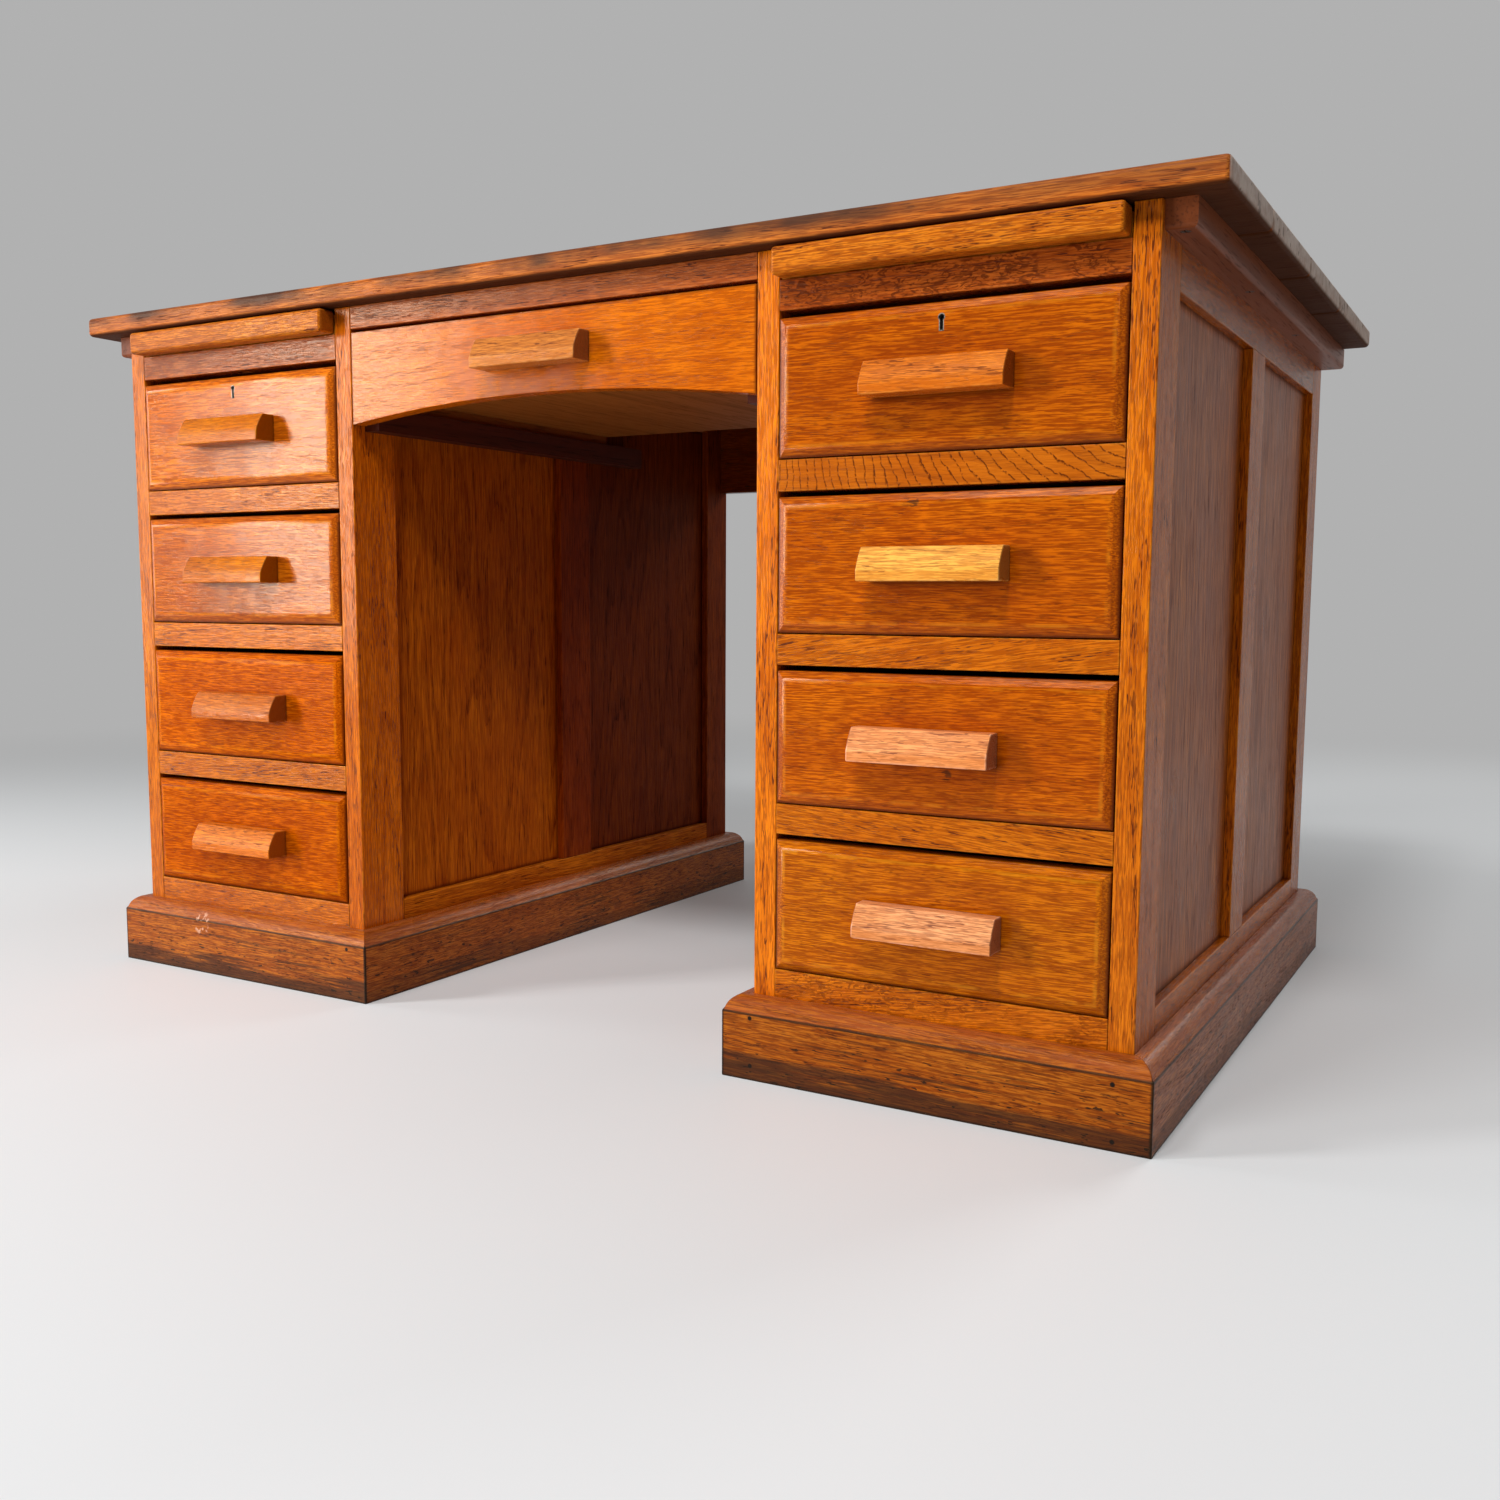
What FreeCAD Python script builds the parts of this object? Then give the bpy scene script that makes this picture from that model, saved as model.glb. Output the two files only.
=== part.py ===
# Pedestal desk in varnished oak. Two pedestals of four drawers carry a top of edge-glued boards, with
# an arched centre drawer over the kneehole and a pull-out writing slide above each pedestal.
# Lengths are millimetres and +Z is up. Pieces are made with Y = 0 on the front of the stiles and +Y
# towards the back, then moved so that the origin lies on the floor under the middle of the desk.
import FreeCAD, Part
import os

Vector = FreeCAD.Vector

# Height and plan of the desk
desk_height = 760.0
kneehole_width = 491.0
pedestal_width = 351.5
pedestal_depth = 767.0
foot_gap = 4.0                    # the frames stop short of the floor, the plinths stand on it

# Top and the cleats under its ends
top_thickness = 21.0
top_side_overhang = 53.0
top_front_overhang = 18.0
top_edge_radius = 5.0
top_seam_shares = (0.21, 0.45, 0.69)   # joints between the boards, from the front edge
cleat_width = 25.0
cleat_height = 22.5
cleat_setback = 6.0
cleat_edge_radius = 4.0
cleat_screw_count = 4
cleat_screw_setback = 14.0

# Framed sides and backs of the pedestals
frame_thickness = 22.0
front_stile_width = 62.0
rear_stile_width = 55.0
muntin_width = 62.0
frame_top_rail_height = 57.5
frame_bottom_rail_height = 94.0
panel_thickness = 8.0
panel_recess = 9.0
groove_depth = 8.0
panel_edge_gap = 1.0              # room for the panels to swell

# Front rails, from the sill under the lowest drawer up to the slide; the drawers share what is left
sill_height = 101.0
sill_rail_height = 60.0
rail_height = 27.5
slide_rail_height = 26.5
slide_opening_height = 26.5
top_opening_extra = 2.5           # the top drawer's opening is this much taller than the others
rail_depth = 45.0
tenon_length = 10.0
tenon_thickness = 12.0
tenon_setback = 16.0
tenon_shoulder = 5.0

# Plinth boards
plinth_thickness = 21.5
plinth_height = 75.5
moulding_height = 14.0
moulding_width = 12.5
moulding_step = 1.3
moulding_bulge = 2.6

# Runners and stops inside the pedestals
runner_width = 16.0
runner_height = 20.0
stop_width = 30.0
stop_depth = 18.0
stop_height = 6.0
stop_spacing = 120.0
rest_gap = 0.3                    # between a sliding piece and what carries or stops it

# Drawer fronts
front_thickness = 18.0
field_rise = 4.5
bevel_width = 9.0
front_side_gap = 1.0
front_bottom_gap = 1.0
front_top_gap = 5.0
locked_front_top_gap = 6.5

# Drawer boxes
box_side_gap = 2.0
box_top_gap = 27.0
drawer_length = 650.0
side_thickness = 12.0
back_thickness = 12.0
lap_depth = 10.0
bottom_thickness = 6.0
bottom_rise = 10.0
bottom_groove = 5.0

# Centre drawer, the rail above it and its runners
centre_rail_height = 23.5
centre_rail_depth = 22.0
centre_top_gap = 3.5
centre_side_gap = 1.0
centre_front_height = 95.0
arch_rise = 17.5
centre_box_gap = 1.5
centre_box_height = 63.0
centre_drawer_length = 438.0
centre_runner_lift = 19.5
centre_runner_width = 20.0
centre_runner_height = 24.5
centre_runner_end = 510.0
kneehole_rail_height = 144.0
kneehole_rail_thickness = 18.0

# Wooden pulls
pull_length = 127.0
pull_height = 29.0
pull_depth = 25.5
pull_arris_height = 9.0
pull_top_depth = 15.0
pull_bulge = 1.2
pull_screw_spacing = 76.0
pull_screw_rise = 12.0
third_pull_shift = 7.0            # the third drawers' pulls sit nearer the kneehole

# Wood screws
screw_length = 32.0
screw_radius = 2.0
screw_head_radius = 4.2
screw_head_depth = 2.6
screw_slot_width = 1.0
screw_slot_depth = 1.0
screw_clearance = 0.15

# Writing slides
slide_length = 560.0
slide_thickness = 20.0
slide_side_gap = 1.0
lip_height = 24.0
lip_depth = 22.0
lip_reach = 20.0
lip_edge_radius = 4.0

# Drawer locks
keyhole_drop = 13.0
keyhole_radius = 2.4
keyhole_slot_width = 2.8
keyhole_length = 10.4
keyhole_wall = 0.8
lock_case_width = 44.0
lock_case_height = 36.0
lock_case_depth = 10.0
lock_plate_width = 60.0
lock_plate_height = 42.0
lock_plate_thickness = 1.5
lock_fit = 0.2
bolt_width = 16.0
bolt_thickness = 5.0
bolt_height = 26.0
bolt_gap = 0.3
bolt_mortise_gap = 1.2
bolt_mortise_depth = 8.0

cut_overrun = 1.0                 # how far cutting shapes run past the faces they open

# Levels and places that follow from the sizes above
drawer_names = ("bottom", "third", "second", "top")
drawer_count = len(drawer_names)
top_low = desk_height - top_thickness
slide_rail_high = top_low - slide_opening_height
slide_rail_low = slide_rail_high - slide_rail_height
all_openings = slide_rail_low - sill_height - (drawer_count - 1) * rail_height
drawer_opening_height = (all_openings - top_opening_extra) / drawer_count
level_pitch = drawer_opening_height + rail_height
sills = [sill_height + level * level_pitch for level in range(drawer_count)]
box_height = drawer_opening_height - box_top_gap
opening_width = pedestal_width - 2 * frame_thickness
pedestal_x = (kneehole_width + pedestal_width) / 2
top_width = kneehole_width + 2 * (pedestal_width + top_side_overhang)
rear_stile_front = pedestal_depth - rear_stile_width
frame_span = (foot_gap, top_low)
panel_low = foot_gap + frame_bottom_rail_height
panel_high = top_low - frame_top_rail_height
centre_rail_low = top_low - centre_rail_height
centre_front_high = centre_rail_low - centre_top_gap
centre_front_low = centre_front_high - centre_front_height
centre_runner_high = centre_front_low + centre_runner_lift
lock_middle = front_thickness - lock_case_depth / 2
front_reach = field_rise + pull_depth
middle_y = (pedestal_depth + plinth_thickness - front_reach) / 2


def board(x, y, z):
    """Squared board between the two limits given along each axis."""
    corner = Vector(min(x), min(y), min(z))
    return Part.makeBox(max(x) - min(x), max(y) - min(y), max(z) - min(z), corner)


def both_ways(size):
    """Limits of a size centred on zero."""
    return (-size / 2, size / 2)


def widened(limits, extra):
    """The same limits with extra added at both ends."""
    return (min(limits) - extra, max(limits) + extra)


def joined(first, *others):
    """One solid from pieces that are worked from the same wood or metal."""
    return first.fuse(list(others)).removeSplitter()


def round_edges(shape, radius, wanted):
    """Round the edges whose middle passes the test."""
    edges = [edge for edge in shape.Edges if wanted(edge.CenterOfMass)]
    return shape.makeFillet(radius, edges)


def export(node, pieces, place=Vector(0, 0, 0)):
    """Write a node's solids, moved from the making datum to the desk's origin."""
    move = place - Vector(0, middle_y, 0)
    solids = [solid.translated(move) for piece in pieces for solid in piece.Solids]
    shape = solids[0] if len(solids) == 1 else Part.makeCompound(solids)
    shape.exportStep("parts/" + node + ".step")


def wood_screw(clearance=0.0):
    """Countersunk screw pointing up from its head face, or its hole when given a clearance."""
    shank_radius = screw_radius + clearance
    head = Part.makeCone(screw_head_radius + clearance, shank_radius, screw_head_depth)
    shank = Part.makeCylinder(shank_radius, screw_length + clearance)
    screw = joined(head, shank)
    if clearance:
        return screw
    slot = board(both_ways(screw_slot_width), both_ways(2 * screw_head_radius), (0, screw_slot_depth))
    return screw.cut(slot)


def desktop():
    """Edge-glued boards of the top, their cleats and the screws up through the cleats."""
    rear = pedestal_depth
    slab = board(both_ways(top_width), (-top_front_overhang, rear), (top_low, desk_height))
    slab = slab.makeFillet(top_edge_radius, slab.Edges)
    spacing = (rear - cleat_setback - 2 * cleat_screw_setback) / (cleat_screw_count - 1)
    cleats = []
    screws = []
    for side in (-1, 1):
        face = side * (kneehole_width / 2 + pedestal_width)
        outer = face + side * cleat_width
        low = top_low - cleat_height
        cleat = board((face, outer), (cleat_setback, rear), (low, top_low))

        def at_front_or_outer(middle):
            foremost = abs(middle.y - cleat_setback) < cleat_edge_radius
            outermost = abs(middle.x - outer) < cleat_edge_radius
            below = middle.z < low + cleat_edge_radius
            return below and (foremost or outermost)

        cleat = round_edges(cleat, cleat_edge_radius, at_front_or_outer)
        for index in range(cleat_screw_count):
            along = cleat_setback + cleat_screw_setback + index * spacing
            place = Vector((face + outer) / 2, along, low)
            hole = wood_screw(screw_clearance).translated(place)
            cleat = cleat.cut(hole)
            slab = slab.cut(hole)
            screws.append(wood_screw().translated(place))
        cleats.append(cleat)
    depth = rear + top_front_overhang
    seams = [share * depth - top_front_overhang for share in top_seam_shares]
    limits = [-top_front_overhang - cut_overrun] + seams + [rear + cut_overrun]
    across = widened(both_ways(top_width), cut_overrun)
    through = widened((top_low, desk_height), cut_overrun)
    boards = [slab.common(board(across, span, through)) for span in zip(limits, limits[1:])]
    export("desktop_boards", boards)
    export("desktop_cleats", cleats)
    export("cleat_screws", screws)


def plinth_board(length):
    """Moulded and mitred board that stands against a face of this length, its outside to -Y."""
    outer = -plinth_thickness
    shoulder = Vector(0, outer, plinth_height - moulding_height)
    foot = shoulder + Vector(0, moulding_step, 0)
    head = Vector(0, outer + moulding_width, plinth_height)
    chord = head - foot
    outward = Vector(0, -chord.z, chord.y).normalize()
    crown = (foot + head) * 0.5 + outward * moulding_bulge
    floor_outside = Vector(0, outer, 0)
    floor_inside = Vector(0, 0, 0)
    top_inside = Vector(0, 0, plinth_height)
    edges = [
        Part.makeLine(floor_inside, floor_outside),
        Part.makeLine(floor_outside, shoulder),
        Part.makeLine(shoulder, foot),
        Part.Arc(foot, crown, head).toShape(),
        Part.makeLine(head, top_inside),
        Part.makeLine(top_inside, floor_inside),
    ]
    full = length + 2 * plinth_thickness
    profile = Part.Face(Part.Wire(edges)).translated(Vector(-full / 2, 0, 0))
    moulded = profile.extrude(Vector(full, 0, 0))
    half = length / 2
    plan = Part.makePolygon([
        Vector(-half, 0, 0),
        Vector(half, 0, 0),
        Vector(half + plinth_thickness, outer, 0),
        Vector(-half - plinth_thickness, outer, 0),
        Vector(-half, 0, 0),
    ])
    return moulded.common(Part.Face(plan).extrude(Vector(0, 0, plinth_height)))


def plinth():
    """Four mitred boards round the foot of a pedestal."""
    around = Vector(0, 0, 1)
    start = Vector(0, 0, 0)
    half = pedestal_width / 2
    sides = (
        (pedestal_width, 0, Vector(0, 0, 0)),
        (pedestal_depth, 90, Vector(half, pedestal_depth / 2, 0)),
        (pedestal_width, 180, Vector(0, pedestal_depth, 0)),
        (pedestal_depth, 270, Vector(-half, pedestal_depth / 2, 0)),
    )
    return [plinth_board(length).rotated(start, around, turn).translated(place)
            for length, turn, place in sides]


def front_rails(keyed_middle):
    """Sill, three rails between drawers and the rail under the slide, tenoned into the stiles."""
    heights = [(sill_height - sill_rail_height, sill_height)]
    heights += [(sill - rail_height, sill) for sill in sills[1:]]
    heights += [(slide_rail_low, slide_rail_high)]
    tenon_y = (tenon_setback, tenon_setback + tenon_thickness)
    rails = []
    for low, high in heights:
        rail = board(both_ways(opening_width), (0, rail_depth), (low, high))
        tenon_x = both_ways(opening_width + 2 * tenon_length)
        tenon = board(tenon_x, tenon_y, (low + tenon_shoulder, high - tenon_shoulder))
        rails.append(joined(rail, tenon))
    mortise = board(
        both_ways(bolt_width + 2 * bolt_mortise_gap),
        both_ways(bolt_thickness + 2 * bolt_mortise_gap),
        (slide_rail_low - cut_overrun, slide_rail_low + bolt_mortise_depth))
    rails[-1] = rails[-1].cut(mortise.translated(Vector(0, keyed_middle, 0)))
    return rails


def panel_bays():
    """Front and rear bays of a framed side, as the limits between stiles and muntin."""
    middle = (front_stile_width + rear_stile_front) / 2
    muntin = (middle - muntin_width / 2, middle + muntin_width / 2)
    return (front_stile_width, muntin[0]), (muntin[1], rear_stile_front), muntin


def side_frame(side, rails, back):
    """Stiles, muntin and rails of one side of a pedestal, with the panels in their grooves."""
    outer = side * pedestal_width / 2
    across = (side * opening_width / 2, outer)
    tongue = (outer - side * panel_recess, outer - side * (panel_recess + panel_thickness))
    front_bay, rear_bay, muntin_span = panel_bays()
    long = (front_stile_width, rear_stile_front)
    tall = widened(frame_span, cut_overrun)
    grooved = widened(long, groove_depth)
    stile_grooves = board(tongue, grooved, tall)
    front_stile = board(across, (0, front_stile_width), frame_span).cut(stile_grooves)
    rear_stile = board(across, (rear_stile_front, pedestal_depth), frame_span).cut(stile_grooves)
    front_stile = front_stile.cut(rails)
    rear_stile = rear_stile.cut(back)
    grooves_span = widened((panel_low, panel_high), groove_depth)
    panel_groove = board(tongue, widened(grooved, cut_overrun), grooves_span)
    frame_rails = []
    for span in ((foot_gap, panel_low), (panel_high, top_low)):
        rail = joined(board(across, long, span), board(tongue, grooved, span))
        frame_rails.append(rail.cut(panel_groove))
    body = board(across, muntin_span, (panel_low, panel_high))
    stub = board(tongue, muntin_span, grooves_span)
    muntin = joined(body, stub)
    held = groove_depth - panel_edge_gap
    panels = []
    for bay in (front_bay, rear_bay):
        room = board(tongue, widened(bay, groove_depth), tall)
        muntin = muntin.cut(room)
        panels.append(board(tongue, widened(bay, held), widened((panel_low, panel_high), held)))
    return [front_stile, rear_stile, muntin] + frame_rails, panels


def pedestal_back():
    """Top and bottom rails and the panel between the rear stiles."""
    width = both_ways(opening_width)
    depth = (pedestal_depth - frame_thickness, pedestal_depth)
    inset = pedestal_depth - panel_recess
    tongue = (inset - panel_thickness, inset)
    tongued = widened(width, groove_depth)
    grooves_span = widened((panel_low, panel_high), groove_depth)
    groove = board(widened(tongued, cut_overrun), tongue, grooves_span)
    held = groove_depth - panel_edge_gap
    pieces = []
    for span in ((foot_gap, panel_low), (panel_high, top_low)):
        rail = joined(board(width, depth, span), board(tongued, tongue, span))
        pieces.append(rail.cut(groove))
    panel = board(widened(width, held), tongue, widened((panel_low, panel_high), held))
    groove_in_stiles = board(tongued, tongue, widened(frame_span, cut_overrun))
    return pieces + [panel], groove_in_stiles


def runners_and_stops():
    """Runners under the drawers and the slide, and the stops behind the drawer fronts."""
    back = pedestal_depth - frame_thickness
    pieces = []
    for high in sills + [slide_rail_high]:
        for side in (-1, 1):
            wall = side * opening_width / 2
            across = (wall, wall - side * runner_width)
            pieces.append(board(across, (rail_depth, back), (high - runner_height, high)))
    stop_front = front_thickness + rest_gap
    for sill in sills:
        for middle in both_ways(stop_spacing):
            across = (middle - stop_width / 2, middle + stop_width / 2)
            pieces.append(board(across, (stop_front, stop_front + stop_depth), (sill, sill + stop_height)))
    return pieces


def pull():
    """Wedge-shaped pull with its back on Y = 0 and its lower edge at Z = 0."""
    half = pull_length / 2
    back_low = Vector(-half, 0, 0)
    front_low = Vector(-half, -pull_depth, 0)
    arris = Vector(-half, -pull_depth, pull_arris_height)
    brow = Vector(-half, -pull_top_depth, pull_height)
    slope = brow - arris
    outward = Vector(0, -slope.z, slope.y).normalize()
    swell = (arris + brow) * 0.5 + outward * pull_bulge
    back_high = Vector(-half, 0, pull_height)
    edges = [
        Part.makeLine(back_low, front_low),
        Part.makeLine(front_low, arris),
        Part.Arc(arris, swell, brow).toShape(),
        Part.makeLine(brow, back_high),
        Part.makeLine(back_high, back_low),
    ]
    return Part.Face(Part.Wire(edges)).extrude(Vector(pull_length, 0, 0))


def pull_and_screws(front, face, middle, low):
    """Set a pull on a drawer front with two screws from inside; return front, pull and screws."""
    handle = pull().translated(Vector(middle, -face, low))
    screws = []
    for across in both_ways(pull_screw_spacing):
        place = Vector(middle + across, front_thickness, low + pull_screw_rise)
        turn = (Vector(0, 0, 0), Vector(1, 0, 0), 90)
        hole = wood_screw(screw_clearance).rotated(*turn).translated(place)
        front = front.cut(hole)
        handle = handle.cut(hole)
        screws.append(wood_screw().rotated(*turn).translated(place))
    return front, handle, screws


def drawer_box(width, height, length, low):
    """Sides, back and bottom of a drawer, the bottom held in grooves and run under the back."""
    half = width / 2
    inside = half - side_thickness
    floor = (low + bottom_rise, low + bottom_rise + bottom_thickness)
    front_end = front_thickness - lap_depth
    bottom_x = (-inside - bottom_groove, inside + bottom_groove)
    bottom = board(bottom_x, (front_thickness - bottom_groove, length), floor)
    sides = []
    for side in (-1, 1):
        across = (side * inside, side * half)
        sides.append(board(across, (front_end, length), (low, low + height)).cut(bottom))
    back = board((-inside, inside), (length - back_thickness, length), (floor[1], low + height))
    return sides + [back, bottom]


def raised_front(width, low, high):
    """Drawer front with a bevel round a raised field."""
    half = width / 2
    inner = half - bevel_width
    slab = board((-half, half), (0, front_thickness), (low, high))
    field = Part.makeWedge(
        -inner, -field_rise, low + bevel_width, low, -half,
        inner, 0, high - bevel_width, high, half)
    return joined(slab, field)


def keyhole(wall, front, back, middle_z):
    """Keyhole-shaped prism between two depths, grown by the thickness of a lining."""
    depth = back - front
    radius = keyhole_radius + wall
    barrel = Part.makeCylinder(radius, depth, Vector(0, front, middle_z), Vector(0, 1, 0))
    slot = board(
        both_ways(keyhole_slot_width + 2 * wall), (front, back),
        (middle_z - keyhole_length - wall, middle_z))
    return joined(barrel, slot)


def lock_set(high):
    """Lock case with its back plate, keyhole lining, bolt, and the room they need in the front."""
    case_front = front_thickness - lock_case_depth
    case_x = both_ways(lock_case_width)
    case_z = (high - lock_case_height, high)
    case = board(case_x, (case_front, front_thickness), case_z)
    plate = board(
        both_ways(lock_plate_width), (front_thickness, front_thickness + lock_plate_thickness),
        (high - lock_plate_height, high))
    case = joined(case, plate)
    bolt_x = both_ways(bolt_width)
    bolt_y = (lock_middle - bolt_thickness / 2, lock_middle + bolt_thickness / 2)
    bolt = board(bolt_x, bolt_y, (high - bolt_height, high))
    bolt_room = board(
        widened(bolt_x, bolt_gap), widened(bolt_y, bolt_gap), widened((high - bolt_height, high), bolt_gap))
    hole_z = high - keyhole_drop
    keyway = keyhole(0, case_front - cut_overrun, lock_middle, hole_z)
    case = case.cut(bolt_room).cut(keyway)
    lining_back = case_front - lock_fit
    lining = keyhole(keyhole_wall, -field_rise, lining_back, hole_z)
    lining = lining.cut(keyhole(0, -field_rise - cut_overrun, lining_back + cut_overrun, hole_z))
    case_room = board(
        widened(case_x, lock_fit), (lining_back, front_thickness + cut_overrun),
        (case_z[0] - lock_fit, high + cut_overrun))
    keyhole_room = keyhole(keyhole_wall, -field_rise - cut_overrun, case_front, hole_z)
    return [case, lining], bolt, [case_room, keyhole_room]


def pedestal_drawer(side_name, side, level):
    """One pedestal drawer: front, box, pull and screws, with a lock in the top one."""
    name = side_name + "_" + drawer_names[level] + "_drawer"
    place = Vector(side * pedestal_x, 0, 0)
    sill = sills[level]
    top_drawer = level == drawer_count - 1
    low = sill + front_bottom_gap
    if top_drawer:
        high = slide_rail_low - locked_front_top_gap
    else:
        high = sill + drawer_opening_height - front_top_gap
    front = raised_front(opening_width - 2 * front_side_gap, low, high)
    box = drawer_box(opening_width - 2 * box_side_gap, box_height, drawer_length, sill + rest_gap)
    front = front.cut(box)
    middle = -side * third_pull_shift if drawer_names[level] == "third" else 0
    pull_low = (low + high - pull_height) / 2
    front, handle, screws = pull_and_screws(front, field_rise, middle, pull_low)
    if top_drawer:
        case, bolt, room = lock_set(high)
        front = front.cut(room)
        export(side_name + "_lock_case", case, place)
        export(side_name + "_lock_bolt", [bolt], place)
    export(name + "_front", [front], place)
    export(name + "_box", box, place)
    export(name + "_pull", [handle], place)
    export(name + "_pull_screws", screws, place)


def arched_front():
    """Flat front of the centre drawer, its lower edge cut to a shallow arch."""
    half = kneehole_width / 2 - centre_side_gap
    low = centre_front_low
    left_low = Vector(-half, 0, low)
    right_low = Vector(half, 0, low)
    crown = Vector(0, 0, low + arch_rise)
    left_high = Vector(-half, 0, centre_front_high)
    right_high = Vector(half, 0, centre_front_high)
    edges = [
        Part.Arc(left_low, crown, right_low).toShape(),
        Part.makeLine(right_low, right_high),
        Part.makeLine(right_high, left_high),
        Part.makeLine(left_high, left_low),
    ]
    return Part.Face(Part.Wire(edges)).extrude(Vector(0, front_thickness, 0))


def centre_drawer():
    """Shallow drawer over the kneehole, with its runners on the pedestals' inner sides."""
    box_low = centre_runner_high + rest_gap
    width = kneehole_width - 2 * centre_box_gap
    box = drawer_box(width, centre_box_height, centre_drawer_length, box_low)
    front = arched_front().cut(box)
    pull_low = (centre_front_low + arch_rise + centre_front_high - pull_height) / 2
    front, handle, screws = pull_and_screws(front, 0, 0, pull_low)
    export("centre_drawer_front", [front])
    export("centre_drawer_box", box)
    export("centre_drawer_pull", [handle])
    export("centre_drawer_pull_screws", screws)
    runners = []
    for side in (-1, 1):
        wall = side * kneehole_width / 2
        runners.append(board(
            (wall, wall - side * centre_runner_width), (front_thickness + rest_gap, centre_runner_end),
            (centre_runner_high - centre_runner_height, centre_runner_high)))
    export("centre_drawer_runners", runners)


def kneehole_rails():
    """Rail above the centre drawer and the deep rail across the back of the kneehole."""
    across = both_ways(kneehole_width)
    front = board(across, (0, centre_rail_depth), (centre_rail_low, top_low))
    depth = (pedestal_depth - kneehole_rail_thickness, pedestal_depth)
    rear = board(across, depth, (top_low - kneehole_rail_height, top_low))
    export("kneehole_rails", [front, rear])


def writing_slide():
    """Slide board with a rounded lip glued along its front end."""
    low = slide_rail_high + rest_gap
    across = both_ways(opening_width - 2 * slide_side_gap)
    joint = lip_depth - lip_reach
    panel = board(across, (joint, slide_length), (low, low + slide_thickness))
    lip = board(across, (-lip_reach, joint), (low, low + lip_height))
    lip = round_edges(lip, lip_edge_radius, lambda middle: middle.y < joint - lip_edge_radius)
    return [panel, lip]


def pedestal(side_name, side):
    """Carcass and slide of one pedestal; returns the pieces of its back."""
    place = Vector(side * pedestal_x, 0, 0)
    rails = front_rails(lock_middle)
    back, back_groove = pedestal_back()
    outer_frame, outer_panels = side_frame(side, rails, back_groove)
    inner_frame, inner_panels = side_frame(-side, rails, back_groove)
    export(side_name + "_plinth", plinth(), place)
    export(side_name + "_outer_frame", outer_frame, place)
    export(side_name + "_inner_frame", inner_frame, place)
    export(side_name + "_side_panels", outer_panels + inner_panels, place)
    export(side_name + "_front_rails", rails, place)
    export(side_name + "_runners_and_stops", runners_and_stops(), place)
    export(side_name + "_slide", writing_slide(), place)
    return [piece.translated(place) for piece in back]


os.makedirs("parts", exist_ok=True)
desktop()
kneehole_rails()
centre_drawer()
backs = []
for side_name, side in (("left", -1), ("right", 1)):
    backs += pedestal(side_name, side)
    for level in range(drawer_count):
        pedestal_drawer(side_name, side, level)
export("pedestal_backs", backs)
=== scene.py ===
import itertools
import math

import bpy
import numpy as np
from mathutils import Matrix, Vector


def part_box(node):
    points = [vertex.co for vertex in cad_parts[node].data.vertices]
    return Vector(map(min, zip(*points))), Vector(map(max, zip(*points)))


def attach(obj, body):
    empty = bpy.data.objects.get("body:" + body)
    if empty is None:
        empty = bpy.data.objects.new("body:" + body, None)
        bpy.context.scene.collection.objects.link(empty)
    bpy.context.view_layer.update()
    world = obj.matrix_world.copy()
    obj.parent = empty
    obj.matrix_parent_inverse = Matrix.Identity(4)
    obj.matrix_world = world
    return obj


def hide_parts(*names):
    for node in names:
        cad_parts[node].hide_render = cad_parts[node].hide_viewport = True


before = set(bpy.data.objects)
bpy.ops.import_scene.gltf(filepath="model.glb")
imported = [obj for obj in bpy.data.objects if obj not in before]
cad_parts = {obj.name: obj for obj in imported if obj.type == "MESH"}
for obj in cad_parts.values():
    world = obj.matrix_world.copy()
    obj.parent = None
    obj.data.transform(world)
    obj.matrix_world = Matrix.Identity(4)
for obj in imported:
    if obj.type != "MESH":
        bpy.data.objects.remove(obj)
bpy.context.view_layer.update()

# Framed sides of the pedestals: two stiles, a muntin and two rails of oak on each side, planed square,
# joined with stub tenons and varnished. The arrises are just eased, and the grain runs along each board.
stile_width = 0.062
rear_stile_width = 0.055
muntin_width = 0.062
top_rail_height = 0.0575
bottom_rail_height = 0.094
frame_ease = 0.0011
frame_stain = (0.575, 0.128, 0.003)
kneehole_stile_stains = {"left": (0.58, 0.120, 0.002), "right": (0.69, 0.150, 0.003)}
# Kneehole sides: rear stile, muntin and top rail stained far darker than the bottom rail: painted shade.
inner_shaded_stains = ((0.24, 0.034, 0.001), (0.23, 0.030, 0.001), (0.50, 0.115, 0.003), (0.32, 0.055, 0.001))
# Top rails of the outer sides stained darker: painted shade of the top's overhang.
shaded_top_rail_stain = (0.45, 0.098, 0.006)
along_x, along_y, along_z = (1, 0, 0), (0, 1, 0), (0, 0, 1)
board_numbers = itertools.count(1)
shade_spread = 0.05
grain_drift = 0.016
smooth_below = math.radians(34)
varnish_tint = (1, 0.8, 0.5, 1)
sides = ("left", "right")


def block(name, low, high):
    """Square-edged block between two corners, with its place in its mesh."""
    bpy.ops.object.select_all(action="DESELECT")
    low, high = Vector(low), Vector(high)
    bpy.ops.mesh.primitive_cube_add(size=1, location=(low + high) / 2, scale=high - low)
    bpy.ops.object.transform_apply(location=True, rotation=False, scale=True)
    bpy.context.object.name = name
    return bpy.context.object


def apply_modifier(piece, kind, **settings):
    """Add a modifier to a piece and apply it."""
    bpy.context.view_layer.objects.active = piece
    modifier = piece.modifiers.new(kind.title(), kind)
    for setting, value in settings.items():
        setattr(modifier, setting, value)
    bpy.ops.object.modifier_apply(modifier=modifier.name)


def round_arrises(piece, width, steps, sharper_than):
    """Round the edges of a piece that are sharper than an angle in degrees."""
    sharp = math.radians(sharper_than)
    apply_modifier(piece, "BEVEL", width=width, segments=steps, limit_method="ANGLE", angle_limit=sharp)


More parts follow.
